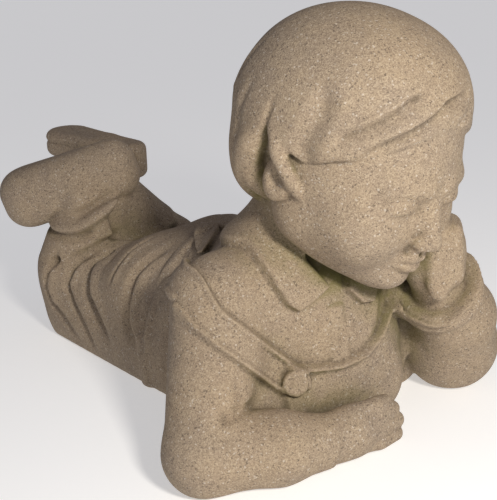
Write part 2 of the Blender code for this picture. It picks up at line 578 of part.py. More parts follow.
def skin(values, low, cell):
    """Quads of the zero surface: one corner per crossed cell, one quad per crossed grid edge."""
    inside = values < 0
    flat = values.reshape(-1)
    stride = np.array([values.shape[1] * values.shape[2], values.shape[2], 1])
    ids, places, quads = [], [], []
    for axis in range(3):
        first, second = [slice(None)] * 3, [slice(None)] * 3
        first[axis], second[axis] = slice(0, -1), slice(1, None)
        cross = np.argwhere(inside[tuple(first)] != inside[tuple(second)])
        start = cross @ stride
        d0, d1 = flat[start], flat[start + stride[axis]]
        place = cross.astype(float)
        place[:, axis] += d0 / (d0 - d1)
        u, v = (axis + 1) % 3, (axis + 2) % 3
        around = [start + du * stride[u] + dv * stride[v] for du, dv in ((-1, -1), (0, -1), (0, 0), (-1, 0))]
        quad = np.stack(around, 1)
        backward = d0 > 0
        quad[backward] = quad[backward][:, ::-1]
        ids += around
        places += [place] * 4
        quads.append(quad)
    cells, index = np.unique(np.concatenate(ids), return_inverse=True)
    places = np.concatenate(places)
    share = np.bincount(index)
    corners = np.stack([np.bincount(index, places[:, i]) / share for i in range(3)], 1) * cell + low
    return corners, np.searchsorted(cells, np.concatenate(quads))


def evened(corners, quads, rounds):
    """The surface without the small steps of the grid: corners move toward their neighbours and back out."""
    start = np.concatenate([quads.ravel(), np.roll(quads, -1, 1).ravel()])
    end = np.concatenate([np.roll(quads, -1, 1).ravel(), quads.ravel()])
    count = np.bincount(start, minlength=len(corners))[:, None]
    for step in [0.50, -0.52] * rounds:
        mean = np.stack([np.bincount(start, corners[end, i], len(corners)) for i in range(3)], 1) / count
        corners = corners + step * (mean - corners)
    return corners


def outer_shell(corners, quads):
    """The surface that is reached from its highest corner, without the sealed hollows inside it."""
    reached = np.zeros(len(corners), bool)
    reached[corners[:, 2].argmax()] = True
    count = 0
    while reached.sum() > count:
        count = reached.sum()
        reached[quads[reached[quads].any(1)]] = True
    order = np.cumsum(reached) - 1
    quads = order[quads[reached[quads[:, 0]]]]
    return evened(corners[reached], quads, ROUNDS), quads


def build():
    for item in list(bpy.data.objects):
        bpy.data.objects.remove(item)
    values, low = grid_of(CELL)
    corners, quads = outer_shell(*skin(values, low, CELL))
    corners = (corners - [*MIDDLE, corners[:, 2].min()]) * UNIT
    mesh = bpy.data.meshes.new('boy_figure')
    mesh.from_pydata(corners.tolist(), [], quads.tolist())
    figure_object = bpy.data.objects.new('boy_figure', mesh)
    group = bpy.data.collections.new('lying_boy_statue')
    bpy.context.scene.collection.children.link(group)
    group.objects.link(figure_object)
    stone = bpy.data.materials.new('cast_stone')
    stone.use_nodes = True
    shader = stone.node_tree.nodes['Principled BSDF']
    shader.inputs['Base Color'].default_value = (*STONE, 1)
    shader.inputs['Roughness'].default_value = 0.9
    mesh.materials.append(stone)
    thin = figure_object.modifiers.new('thin', 'DECIMATE')
    thin.ratio = min(1, TRIANGLES / (2 * len(quads)))


build()
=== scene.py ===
"""Looks of the lying boy: the figure of the CAD solid, meshed finely, in weathered cast stone.

The figure is a distance field in figure units. Axes: +X to the figure's left, +Y toward its feet, +Z up.
"""

import bpy
import numpy as np
from mathutils import Matrix


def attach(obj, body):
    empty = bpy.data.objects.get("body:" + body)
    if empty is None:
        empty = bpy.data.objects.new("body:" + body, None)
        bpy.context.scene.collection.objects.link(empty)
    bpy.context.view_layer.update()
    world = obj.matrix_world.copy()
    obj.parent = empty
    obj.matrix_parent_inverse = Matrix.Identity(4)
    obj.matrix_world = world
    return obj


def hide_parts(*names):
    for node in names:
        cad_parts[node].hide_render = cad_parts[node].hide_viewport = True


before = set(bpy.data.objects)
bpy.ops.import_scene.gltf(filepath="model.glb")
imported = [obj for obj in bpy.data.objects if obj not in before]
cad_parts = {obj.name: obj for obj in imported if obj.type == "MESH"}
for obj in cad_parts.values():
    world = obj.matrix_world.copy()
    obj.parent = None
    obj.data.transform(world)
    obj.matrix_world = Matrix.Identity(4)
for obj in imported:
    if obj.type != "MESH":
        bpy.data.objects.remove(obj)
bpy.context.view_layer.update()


def colour(red, green, blue):
    return (red, green, blue, 1.0)


# One figure unit in metres, and the middle of the figure's box in figure units.
UNIT = 0.125
MIDDLE = (0.0335, 1.0635)
# Grid cell of the fine mesh in figure units, and its number of triangles.
FINE_CELL = 0.0095
FINE_TRIANGLES = 190000

SAND = colour(0.350, 0.266, 0.182)
SAND_GREY = colour(0.300, 0.236, 0.176)
SAND_PALE = colour(0.430, 0.335, 0.225)
GRAIN_DARK, GRAIN_PALE = colour(0.150, 0.112, 0.082), colour(0.56, 0.46, 0.34)
GRAIN_BLACK, GRAIN_WHITE = colour(0.060, 0.046, 0.040), colour(0.72, 0.66, 0.58)
# Colour of the dirt and painted shade in hollows and creases, and of the moss.
DIRT_AND_SHADE, MOSS = colour(0.060, 0.045, 0.030), colour(0.165, 0.150, 0.045)
STONE_ROUGHNESS, STONE_GLOSS = 0.92, 0.25
# Size in metres of the small grains and of the specks between them.
GRAIN = 0.00053
SPECK = GRAIN * 1.7
# Each noise: how often it repeats in a metre, its detail and its roughness.
BROAD, PATCH = (18.0, 3.0, 0.5), (90.0, 4.0, 0.6)
FINE, BROKEN = (900.0, 2.0, 0.6), (160.0, 4.0, 0.65)
# Each span: the two ends of the value, then the share it gives at each of them.
GREY_SPAN, PALE_SPAN = (0.35, 0.65), (0.40, 0.75, 0.0, 0.6)
DARK_GRAINS, PALE_GRAINS = (0.45, 0.0, 0.0, 0.60), (0.60, 1.0, 0.0, 0.50)
BLACK_SPECKS, WHITE_SPECKS = (0.95, 0.97, 0.0, 0.50), (0.035, 0.015, 0.0, 0.38)
# Moss: its middle in figure units, how far it reaches in metres, and where it settles.
MOSS_AT, MOSS_REACH = (0.05, -0.05, 1.02), (0.11, 0.04)
MOSS_NOOK, MOSS_PATCH, MOSS_SHARE = (0.76, 0.40), (0.26, 0.52), (0.0, 1.0, 0.35, 0.95)
# Where the dirt and painted shade of the hollows, the painted shade of the creases and the painted
# highlight and wear of the crests settle, and their shares.
DIRT_SHADE_HOLLOW, DIRT_SHADE_BROKEN, DIRT_SHADE_SHARE = (0.72, 0.30), (0.22, 0.50), 0.65
CREASE_BEND, CREASE_SHARE = (0.49, 0.45), 0.60
CREST_BEND, CREST_SHARE = (0.52, 0.57), 0.35
# How far in metres a nook and a hollow look for stone around them, and with how many rays.
NOOK_REACH, HOLLOW_REACH, NOOK_RAYS = 0.045, 0.010, 8
# Bumps: strength and depth in metres, and the share of the grains in the fine one.
GRAIN_BUMP, WORN_BUMP, GRAIN_LIFT = (0.6, 0.0004), (0.4, 0.0012), 0.5

FLOOR, FLOOR_GLOW = colour(0.78, 0.78, 0.78), 0.54
FLOOR_HALF, FLOOR_ROUGHNESS = 60.0, 0.9
SKY, SKY_POWER = colour(0.92, 0.90, 1.0), 0.22
# Camera: its place in figure units, the way from the target back to it, its up side and its lens.
CAMERA_AT = (-2.459, -3.624, 2.204)
CAMERA_BACK = (-0.4838, -0.8279, 0.2838)
CAMERA_UP = (0.2173, 0.2004, 0.9553)
LENS, SENSOR_WIDTH = 69.4, 36.0
# Lamp: its place and the point it lights in figure units, its width in metres, tint and watts.
KEY_AT, LIT = (-1.15, -4.7, 3.2), (0.0, 0.2, 0.8)
KEY_SIZE, KEY_TINT, KEY_POWER = 0.10, (1.0, 0.95, 0.87), 4.0

# Place and turn of the head in degrees, and the ellipsoid of the hair in head axes.
HEAD_AT = (0.172, -0.194, 1.425)
HEAD_YAW, HEAD_PITCH, HEAD_ROLL = 13, 22, 4.5
HAIR_CENTRE, HAIR_RADII = (0.0, 0.07, 0.08), (0.487, 0.524, 0.478)
# Lean of the hair toward the left of the forehead: heights, how far it leans at each, and which way.
HAIR_LEAN = (-0.25, 0.05, 0.27, 0.56), (0.0, -0.029, 0.0, 0.028)
HAIR_LEAN_WAY = (0.70, -0.71, 0.0)
# Chart units in one radian round the hair, and in one degree round the seat and the shins.
HAIR_TURN = 0.50
SEAT_TURN = 0.0075
SHIN_TURN = 0.0055
# Height of the cloth layers and half the width of the braces.
SLEEVE_STEP = 0.030
COLLAR_STEP = 0.042
STRAP_HALF = 0.078


def vec(*values):
    return np.array(values, np.float32)


def turned(yaw=0.0, pitch=0.0, roll=0.0):
    """Axes (as columns) of a frame turned about z, then tipped about x, then about y."""
    y, p, r = np.radians([yaw, pitch, roll])
    about_z = np.array([[np.cos(y), -np.sin(y), 0], [np.sin(y), np.cos(y), 0], [0, 0, 1]])
    about_x = np.array([[1, 0, 0], [0, np.cos(p), -np.sin(p)], [0, np.sin(p), np.cos(p)]])
    about_y = np.array([[np.cos(r), 0, np.sin(r)], [0, 1, 0], [-np.sin(r), 0, np.cos(r)]])
    return (about_z @ about_x @ about_y).astype(np.float32)


def smooth(x, low, high):
    t = np.clip((x - low) / (high - low), 0, 1)
    return t * t * (3 - 2 * t)


def union(a, b, k=0.0):
    if k == 0:
        return np.minimum(a, b)
    h = np.maximum(k - np.abs(a - b), 0) / k
    return np.minimum(a, b) - h * h * k * 0.25


def both(a, b, k=0.0):
    return -union(-a, -b, k)


def cut(a, b, k=0.0):
    return both(a, -b, k)


def blob(p, centre, radii, axes=None):
    q = p - vec(*centre)
    if axes is not None:
        q = q @ axes
    r = np.broadcast_to(np.float32(radii), 3)
    a = np.sqrt(((q / r) ** 2).sum(1))
    b = np.sqrt(((q / (r * r)) ** 2).sum(1))
    return a * (a - 1) / np.maximum(b, 1e-6)


def full_blob(p, centre, radii, power):
    """Ellipsoid with fuller corners: power 2 is the plain one."""
    r = np.float32(radii)
    q = np.abs((p - vec(*centre)) / r)
    a = np.maximum((q ** power).sum(1), 1e-6) ** (1 / power)
    slope = np.sqrt(((q ** (power - 1) / r) ** 2).sum(1)) * a ** (1 - power)
    return (a - 1) / np.maximum(slope, 0.5)


def bone(p, a, b, ra, rb=None):
    """Round cone from a to b; works in two or three dimensions."""
    rb = ra if rb is None else rb
    a, b = np.float32(a), np.float32(b)
    along = b - a
    t = np.clip((p - a) @ along / (along @ along), 0, 1)
    d = p - a - t[:, None] * along
    return np.sqrt((d * d).sum(1)) - (ra + (rb - ra) * t)


def chain(p, points, radii, k=0.0):
    d = None
    for i in range(len(points) - 1):
        link = bone(p, points[i], points[i + 1], radii[i], radii[i + 1])
        d = link if d is None else union(d, link, k)
    return d


def polygon(u, v, corners):
    """Signed distance to a closed outline in a two-number chart."""
    d = np.full(u.shape, 9.0, np.float32)
    sign = np.ones(u.shape, np.float32)
    for (ax, ay), (bx, by) in zip(corners, corners[1:] + corners[:1]):
        ex, ey = bx - ax, by - ay
        wx, wy = u - ax, v - ay
        t = np.clip((wx * ex + wy * ey) / (ex * ex + ey * ey), 0, 1)
        d = np.minimum(d, np.hypot(wx - ex * t, wy - ey * t))
        crossing = ((ay > v) != (by > v)) & (wx < ex * wy / (ey if ey else 1e-9))
        sign = np.where(crossing, -sign, sign)
    return d * sign


def line(u, v, points, width, taper=True):
    """Bump of height 1 along a chart line, fading over width and toward both ends."""
    near = np.full(u.shape, 9.0, np.float32)
    share = np.zeros(u.shape, np.float32)
    count = len(points) - 1
    for i in range(count):
        (ax, ay), (bx, by) = points[i], points[i + 1]
        ex, ey = bx - ax, by - ay
        t = np.clip(((u - ax) * ex + (v - ay) * ey) / (ex * ex + ey * ey), 0, 1)
        d = np.hypot(u - ax - ex * t, v - ay - ey * t)
        closer = d < near
        near = np.where(closer, d, near)
        share = np.where(closer, (i + t) / count, share)
    bump = 1 - smooth(near, 0, width)
    if taper:
        bump = bump * smooth(np.minimum(share, 1 - share), -0.06, 0.22)
    return bump


def within(p, centre, reach, field):
    """The field where p is within reach of centre, and a plain distance outside."""
    q = p - vec(*centre)
    away = np.sqrt((q * q).sum(1))
    d = away - reach * 0.8
    inside = away < reach
    if inside.any():
        d[inside] = field(p[inside])
    return d


def relief_where(p, keep, field):
    relief = np.zeros(len(p), np.float32)
    if keep.any():
        relief[keep] = field(p[keep])
    return relief


def limb(p, a, b, up=(0, 0, 1)):
    """Chart of a limb: distance from a toward b, turn about it in degrees, and distance off its axis."""
    a, b, up = vec(*a), vec(*b), vec(*up)
    axis = (b - a) / np.linalg.norm(b - a)
    side = np.cross(axis, up)
    side /= np.linalg.norm(side)
    top = np.cross(side, axis)
    q = p - a
    across, above = q @ side, q @ top
    return q @ axis, np.degrees(np.arctan2(across, above)), np.hypot(across, above)


def face(q):
    """Calm child's face on a head of about 1.17 units from chin to crown; q is in head axes."""
    m = np.stack([np.abs(q[:, 0]), q[:, 1], q[:, 2]], 1)
    d = blob(q, (0, 0.04, 0.04), (0.45, 0.50, 0.46))
    d = union(d, blob(q, (0, -0.09, -0.17), (0.395, 0.385, 0.40)), 0.10)
    d = union(d, bone(m, (0.25, -0.02, -0.34), (0.06, -0.29, -0.475), 0.13, 0.105), 0.12)
    d = union(d, blob(m, (0.20, -0.285, -0.275), (0.155, 0.15, 0.15)), 0.12)
    d = union(d, blob(q, (0, -0.375, -0.50), (0.085, 0.08, 0.075)), 0.09)
    d = cut(d, blob(m, (0.165, -0.53, -0.100), (0.12, 0.080, 0.065)), 0.10)
    d = union(d, bone(m, (0.08, -0.445, -0.030), (0.23, -0.395, -0.030), 0.028, 0.024), 0.09)
    d = union(d, bone(q, (0, -0.450, -0.09), (0, -0.528, -0.262), 0.032, 0.042), 0.06)
    d = union(d, blob(m, (0.044, -0.500, -0.278), (0.034, 0.042, 0.030)), 0.03)
    d = cut(d, blob(m, (0.024, -0.522, -0.306), (0.011, 0.017, 0.006)), 0.015)
    d = union(d, blob(q, (0, -0.468, -0.320), (0.052, 0.034, 0.030)), 0.03)
    ball = blob(m, (0.160, -0.388, -0.115), (0.088, 0.062, 0.056))
    lid_line = q[:, 2] + 0.130 + 1.8 * (m[:, 0] - 0.160) ** 2
    upper = both(ball - 0.014, -lid_line, 0.010)
    lower = both(ball - 0.008, lid_line + 0.026, 0.012)
    d = union(d, ball, 0.03)
    d = union(d, union(upper, lower), 0.016)
    upper_lip = [(0.0, -0.478, -0.368), (0.028, -0.476, -0.364), (0.105, -0.405, -0.386)]
    lower_lip = [(0.0, -0.470, -0.416), (0.030, -0.462, -0.413), (0.095, -0.405, -0.396)]
    lips = union(chain(m, upper_lip, [0.026, 0.027, 0.012], 0.01),
                 chain(m, lower_lip, [0.030, 0.028, 0.012], 0.01), 0.004)
    d = union(d, lips, 0.03)
    dip = line(q[:, 0], q[:, 2], [(0, -0.318), (0, -0.345)], 0.022, False)
    d = d + 0.010 * dip * smooth(-q[:, 1], 0.2, 0.3)
    ear = blob(m, (0.425, 0.04, -0.16), (0.05, 0.085, 0.125), turned(0, 12, 0))
    ear = cut(ear, blob(m, (0.475, 0.02, -0.15), (0.03, 0.05, 0.08), turned(0, 12, 0)), 0.02)
    return union(d, ear, 0.02)


# Lower edge of the hair: turn in degrees from the front, and height.
FRINGE = [(-180, -0.45), (-150, -0.47), (-126, -0.45), (-116, -0.32), (-108, -0.14), (-99, 0.00),
          (-90, 0.02), (-83, -0.02), (-72, -0.045), (-63, -0.01), (-56, 0.025), (-47, 0.05), (-36, 0.115),
          (-22, 0.17), (-11, 0.20), (10, 0.22), (25, 0.19), (36, 0.15), (44, 0.12), (56, 0.06),
          (70, -0.02), (80, -0.05), (90, -0.02),
          (99, -0.02), (108, -0.14), (116, -0.32), (126, -0.45), (150, -0.47), (180, -0.45)]
# Each lock: points (turn, height), its half width and its lift off the hair at each.
LOCKS = [([(-90, 0.03), (-86, -0.04), (-80, -0.10), (-74, -0.165), (-68, -0.23)],
          [0.024, 0.036, 0.040, 0.038, 0.018], [-0.020, 0.0, 0.010, 0.020, 0.026]),
         ([(90, 0.03), (86, -0.04), (80, -0.10), (74, -0.165), (68, -0.23)],
          [0.024, 0.036, 0.040, 0.038, 0.018], [-0.020, 0.0, 0.010, 0.020, 0.026]),
         ([(-103, 0.00), (-108, -0.09), (-113, -0.17), (-116, -0.26), (-112, -0.34)],
          [0.045, 0.068, 0.078, 0.076, 0.050], [-0.045, -0.012, 0.012, 0.030, 0.034]),
         ([(103, 0.00), (108, -0.09), (112, -0.17), (112, -0.25), (108, -0.32)],
          [0.045, 0.066, 0.074, 0.066, 0.040], [-0.045, -0.012, 0.010, 0.024, 0.026]),
         ([(6, 0.26), (20, 0.225), (31, 0.18), (38, 0.145)],
          [0.052, 0.042, 0.026, 0.008], [-0.058, -0.038, -0.014, 0.008])]
# Each groove: points (turn, height), width, depth.
GROOVES = [([(-20, 0.37), (-32, 0.32), (-42, 0.24), (-52, 0.17), (-60, 0.10)], 0.045, 0.030),
           ([(22, 0.36), (-7, 0.32), (-26, 0.22), (-37, 0.158), (-47, 0.066)], 0.040, 0.030),
           ([(-72, 0.30), (-71, 0.22), (-71, 0.14), (-72, 0.05), (-74, -0.03)], 0.085, 0.034),
           ([(36, 0.38), (18, 0.29), (4, 0.235)], 0.040, 0.012)]


def rounded(steps, values):
    """Smooth curve through values at 0, 1, 2 and so on, read at steps."""
    v = np.array([2 * values[0] - values[1], *values, 2 * values[-1] - values[-2]], float)
    i = np.minimum(steps.astype(int), len(values) - 2)
    t = steps - i
    a, b, c, d = v[i], v[i + 1], v[i + 2], v[i + 3]
    return b + 0.5 * t * (c - a + t * (2 * a - 5 * b + 4 * c - d + t * (3 * (b - c) + d - a)))


def on_hair(turn, height, lift=0.0):
    """Point of the hair's ellipsoid at a turn from the front and a height, in head axes."""
    (cx, cy, cz), (rx, ry, rz) = HAIR_CENTRE, HAIR_RADII
    ring = np.sqrt(max(1 - ((height - cz) / rz) ** 2, 0.05))
    a = np.radians(turn)
    x = cx + np.sin(a) * rx * ring + lift * np.sin(a)
    y = cy - np.cos(a) * ry * ring - lift * np.cos(a)
    return x, y, height


def hair(q):
    lean = np.interp(q[:, 2], HAIR_LEAN[0], HAIR_LEAN[1]).astype(np.float32)
    q = q - lean[:, None] * vec(*HAIR_LEAN_WAY)
    cap = full_blob(q, HAIR_CENTRE, HAIR_RADII, 2.2)
    cap = union(cap, blob(q, (0.0, 0.20, -0.20), (0.455, 0.345, 0.29)), 0.10)
    turn = np.degrees(np.arctan2(q[:, 0] / HAIR_RADII[0], -(q[:, 1] - HAIR_CENTRE[1]) / HAIR_RADII[1]))
    edge = np.interp(turn, [a for a, _ in FRINGE], [z for _, z in FRINGE]).astype(np.float32)
    d = both(cap, (edge - q[:, 2]) * 0.7, 0.03)
    for points, widths, lifts in LOCKS:
        steps = np.linspace(0, len(points) - 1, 4 * len(points) - 3)
        turns, heights = [rounded(steps, values) for values in zip(*points)]
        path = [on_hair(*place) for place in zip(turns, heights, rounded(steps, lifts))]
        d = union(d, chain(q, path, rounded(steps, widths)), 0.03)
    reach = np.radians(turn) * HAIR_TURN
    outer = q[:, 2]
    for points, width, depth in GROOVES:
        path = [(np.radians(a) * HAIR_TURN, z) for a, z in points]
        d = d + depth * line(reach, outer, path, width)
        if width < 0.1:
            d = d - 0.3 * depth * line(reach, outer, [(x + 0.02, z + width) for x, z in path], width)
    for i in range(11):
        a = 96 + i * 16.5 + 3 * np.sin(2.1 * i)
        a = a - 360 if a > 180 else a
        lean = 4 * np.sin(1.3 * i)
        turns = np.radians([a, a + lean, a + 1.6 * lean]) * HAIR_TURN
        path = list(zip(turns, [0.26 + 0.10 * np.sin(1.7 * i + 1), -0.10, -0.45]))
        d = d + (0.012 + 0.004 * np.sin(2.7 * i)) * line(reach, outer, path, 0.032 + 0.010 * np.sin(i))
    return d


def head(p):
    q = (p - vec(*HEAD_AT)) @ turned(HEAD_YAW, HEAD_PITCH, HEAD_ROLL)
    return union(face(q), hair(q), 0.012)


# Limb ends and radii of the arms, then of the legs, then the ends of the shoes.
R_SHOULDER, R_ELBOW = (-0.462, 0.12, 0.70), (-0.764, -0.20, 0.166)
R_FOREARM, R_WRIST = (-0.48, -0.342, 0.151), (-0.235, -0.385, 0.118)
R_ARM_RADII = [0.222, 0.186, 0.162, 0.122]
L_SHOULDER, L_ELBOW = (0.54, 0.18, 0.70), (0.785, -0.08, 0.22)
L_FOREARM, L_WRIST = (0.70, -0.20, 0.43), (0.54, -0.28, 0.62)
L_ARM_RADII = [0.220, 0.235, 0.205, 0.180]
R_HIP, R_KNEE = (-0.13, 1.35, 0.30), (-0.33, 2.12, 0.27)
R_SHIN, R_ANKLE = (-0.378, 2.09, 0.44), (-0.28, 1.98, 0.86)
L_HIP, L_KNEE = (0.23, 1.35, 0.30), (0.25, 2.13, 0.26)
L_SHIN, L_ANKLE = (0.21, 2.10, 0.38), (-0.165, 2.04, 0.90)
HIP_R, KNEE_R, SHIN_R, ANKLE_R = 0.36, 0.285, 0.268, 0.205
R_HEEL, R_TOE = (-0.15, 1.90, 1.052), (-0.580, 2.225, 0.915)
L_HEEL, L_TOE = (0.03, 2.06, 1.060), (-0.13, 2.66, 1.112)
R_SOLE_UP, L_SOLE_UP = (-0.35, 0.20, 0.9), (0.0, 0.0, 1.0)


def torso(p):
    d = blob(p, (0.03, 0.16, 0.42), (0.46, 0.37, 0.50))
    d = union(d, blob(p, (0.16, 0.06, 0.22), (0.26, 0.25, 0.36)), 0.15)
    d = union(d, blob(p, (-0.44, 0.10, 0.26), (0.28, 0.20, 0.36)), 0.10)
    d = union(d, blob(p, (0.52, 0.17, 0.28), (0.26, 0.18, 0.38)), 0.10)
    d = union(d, bone(p, (-0.50, -0.06, 0.26), (0.22, -0.10, 0.20), 0.15, 0.13), 0.10)
    d = union(d, bone(p, (-0.40, 0.15, 0.71), (0.43, 0.19, 0.71), 0.22), 0.25)
    d = union(d, bone(p, (0.0, 0.30, 0.78), (0.05, 0.08, 1.08), 0.22, 0.20), 0.14)
    d = union(d, bone(p, (0.0, 0.45, 0.46), (0.05, 1.25, 0.38), 0.38, 0.38), 0.25)
    d = union(d, blob(p, (0.03, 0.85, 0.26), (0.46, 0.60, 0.38)), 0.2)
    d = union(d, blob(p, (-0.14, 1.32, 0.37), (0.33, 0.38, 0.345)), 0.10)
    return union(d, blob(p, (0.25, 1.32, 0.42), (0.33, 0.37, 0.345)), 0.08)


def legs(p):
    right = bone(p, R_HIP, R_KNEE, HIP_R, KNEE_R)
    right = union(right, bone(p, (-0.13, 0.80, 0.08), (-0.30, 2.10, 0.12), HIP_R, 0.32), 0.10)
    right = union(right, bone(p, R_SHIN, R_ANKLE, SHIN_R + 0.004, ANKLE_R + 0.005), 0.12)
    left = bone(p, L_HIP, L_KNEE, HIP_R, KNEE_R - 0.005)
    left = union(left, bone(p, (0.20, 0.80, 0.08), (0.22, 2.08, 0.08), HIP_R - 0.01, 0.28), 0.10)
    left = union(left, bone(p, L_SHIN, L_ANKLE, SHIN_R - 0.006, ANKLE_R - 0.025), 0.12)
    return union(right, left, 0.06)


def shoe(p, heel, toe, sole_up, half_thick, heel_r, ball_r, edge, thinning, sole=0.0):
    """Rounded shoe from heel to toe centre, its sole facing sole_up and its vamp thinning to the toe."""
    heel, toe = vec(*heel), vec(*toe)
    length = float(np.linalg.norm(toe - heel))
    along = (toe - heel) / length
    across = np.cross(vec(*sole_up), along)
    across /= np.linalg.norm(across)
    up = np.cross(along, across)
    q = p - heel
    u, v, w = q @ along, q @ across, q @ up
    waist_r = (heel_r + ball_r) * 0.46
    spots = [(0, 0), (length * 0.45, 0), (length, 0)]
    outline = chain(np.stack([u, v], 1), spots, [heel_r, waist_r, ball_r], 0.05)
    thin = thinning * half_thick * smooth(u, 0.15 * length, length)
    a, b = outline + edge, np.abs(w - thin) - half_thick + thin + edge
    d = np.minimum(np.maximum(a, b), 0) + np.hypot(np.maximum(a, 0), np.maximum(b, 0)) - edge
    if sole:
        seam = w - half_thick + sole
        ahead = smooth(u, 0.5 * length, 0.8 * length) * smooth(outline, -0.06, -0.02)
        d = d + 0.010 * (1 - smooth(np.abs(seam), 0, 0.020)) * ahead
    return d


def feet(p):
    right = shoe(p, R_HEEL, R_TOE, R_SOLE_UP, 0.188, 0.150, 0.197, 0.15, 0.0)
    left = shoe(p, L_HEEL, L_TOE, L_SOLE_UP, 0.115, 0.115, 0.158, 0.05, 0.25, 0.070)
    return union(right, left, 0.02)


def sleeves(p):
    right = chain(p, [R_SHOULDER, R_ELBOW, R_FOREARM, R_WRIST], R_ARM_RADII, 0.05)
    past_wrist, _, _ = limb(p, R_WRIST, R_FOREARM)
    right = both(right, -past_wrist, 0.012)
    left = chain(p, [L_SHOULDER, L_ELBOW, L_FOREARM, L_WRIST], L_ARM_RADII, 0.05)
    past_wrist, _, off = limb(p, L_WRIST, L_FOREARM)
    left = both(left, -past_wrist, 0.03)
    rim = np.hypot(off - 0.170, past_wrist - 0.035) - 0.042
    return union(right, union(left, rim, 0.02), 0.03)


# Fingers of the resting hand: height, how far the tip reaches, and radius.
FINGERS = [(0.046, 0.128, 0.047), (0.112, 0.138, 0.048), (0.174, 0.118, 0.045), (0.222, 0.078, 0.040)]


def hands(p):
    d = blob(p, (-0.10, -0.388, 0.124), (0.21, 0.090, 0.126))
    d = union(d, bone(p, (-0.32, -0.372, 0.122), (-0.12, -0.388, 0.120), 0.118, 0.104), 0.05)
    for z, tip, r in FINGERS:
        joints = [(-0.14, -0.380, z * 0.95), (0.02, -0.418, z), (tip, -0.400, z - 0.006)]
        d = union(d, chain(p, joints, [r * 0.8, r + 0.003, r * 0.9]), 0.012)
    fist = blob(p, (0.475, -0.315, 0.835), (0.165, 0.145, 0.195))
    fist = union(fist, bone(p, L_WRIST, (0.475, -0.30, 0.84), 0.13, 0.13), 0.05)
    for i in range(4):
        z = 0.955 - 0.070 * i
        joints = [(0.57, -0.34, z), (0.50, -0.428, z - 0.01), (0.385, -0.425, z - 0.02)]
        fist = union(fist, chain(p, joints, [0.048, 0.047, 0.040]), 0.034)
    fist = union(fist, bone(p, (0.55, -0.34, 0.76), (0.40, -0.435, 0.685), 0.055, 0.045), 0.03)
    return union(d, fist, 0.02)


# Folds of the seat and thighs: points (distance along the body, turn from the top), width, depth.
SEAT_AXIS = ((0.05, 0.0, 0.30), (0.05, 1.0, 0.30))
SEAT_FOLDS = [
    ([(1.94, -64), (1.98, -70), (2.04, -84), (2.01, -95), (1.86, -103), (1.72, -110)], 0.040, 0.030),
    ([(1.78, -56), (1.84, -67), (1.86, -81), (1.77, -91), (1.61, -102), (1.53, -110)], 0.042, 0.034),
    ([(1.66, -38), (1.70, -50), (1.74, -63), (1.69, -74), (1.62, -85), (1.45, -95), (1.32, -104)],
     0.060, 0.050),
    ([(1.34, -30), (1.38, -47), (1.39, -60), (1.41, -70)], 0.034, 0.024),
    ([(1.12, -34), (1.17, -45), (1.20, -57), (1.19, -76), (1.17, -90), (1.05, -102)], 0.055, 0.034),
    ([(0.70, -28), (0.88, -40), (0.97, -55), (1.00, -71), (1.00, -88), (0.94, -104)], 0.050, 0.020),
    ([(1.78, 6), (1.76, -14), (1.80, -30), (1.88, -48)], 0.055, 0.026)]
SHIN_AXIS = ((-0.06, 2.10, 0.28), (-0.18, 2.00, 0.90))
# Folds round the shins: points (turn from the front, distance up the shin), width, depth.
SHIN_FOLDS = [
    ([(60, 0.84), (22, 0.79), (5, 0.71), (-32, 0.62), (-60, 0.57), (-85, 0.57), (-125, 0.60)],
     0.050, -0.034),
    ([(40, 0.88), (10, 0.80), (-32, 0.69), (-60, 0.64), (-90, 0.64)], 0.040, 0.026),
    ([(-41, 0.53), (-60, 0.50), (-85, 0.51), (-125, 0.52)], 0.040, 0.028),
    ([(-10, 0.43), (-40, 0.43), (-57, 0.40), (-78, 0.36), (-100, 0.36)], 0.050, 0.026),
    ([(90, 0.38), (50, 0.33), (15, 0.24), (-15, 0.17)], 0.055, -0.024),
    ([(90, 0.27), (50, 0.22), (15, 0.13), (-12, 0.07)], 0.055, -0.024),
    ([(90, 0.16), (55, 0.11), (25, 0.03)], 0.050, -0.020)]


def seat_folds(p):
    """Nested folds round the outer side of the thighs, deepest in the hollow of the knee."""
    along, turn, _ = limb(p, *SEAT_AXIS)
    relief = np.zeros(len(p), np.float32)
    for side, shift, size in ((1, 0.0, 1.0), (-1, 0.05, 0.9)):
        v = turn * side * SEAT_TURN
        for points, width, depth in SEAT_FOLDS:
            path = [(y + shift, a * SEAT_TURN) for y, a in points]
            relief = relief + depth * size * line(along, v, path, width)
            ridge = [(y - 1.25 * width, a) for y, a in path]
            relief = relief - 0.45 * depth * size * line(along, v, ridge, width * 1.1)
    return relief


def shin_folds(p):
    height, turn, off = limb(p, *SHIN_AXIS, up=(0, -1, 0))
    u = turn * SHIN_TURN
    relief = np.zeros(len(p), np.float32)
    for points, width, depth in SHIN_FOLDS:
        path = [(a * SHIN_TURN, h) for a, h in points]
        relief = relief + depth * line(u, height, path, width)
    return relief * (1 - smooth(off, 0.46, 0.60))


BUTTON_AT = (-0.290, -0.222, 0.362)
# Creases of the right sleeve at the inner elbow, then soft folds of the shirt front: path, width, depth.
CREASES = [([(-0.43, -0.20, 0.31), (-0.52, -0.218, 0.331), (-0.623, -0.288, 0.352), (-0.70, -0.300, 0.350)],
            0.050, 0.020),
           ([(-0.605, -0.249, 0.451), (-0.590, -0.255, 0.400), (-0.633, -0.284, 0.370)], 0.040, 0.012),
           ([(-0.715, -0.276, 0.363), (-0.759, -0.318, 0.324), (-0.746, -0.358, 0.288)], 0.060, 0.012)]
CHEST_FOLDS = [([(0.04, 0.62), (0.00, 0.52), (-0.03, 0.43)], 0.040, -0.010),
               ([(0.27, 0.66), (0.21, 0.54), (0.13, 0.46)], 0.045, 0.014),
               ([(0.30, 0.34), (0.18, 0.31), (0.06, 0.27)], 0.060, -0.012),
               ([(0.33, 0.25), (0.20, 0.22), (0.08, 0.21)], 0.050, -0.010)]
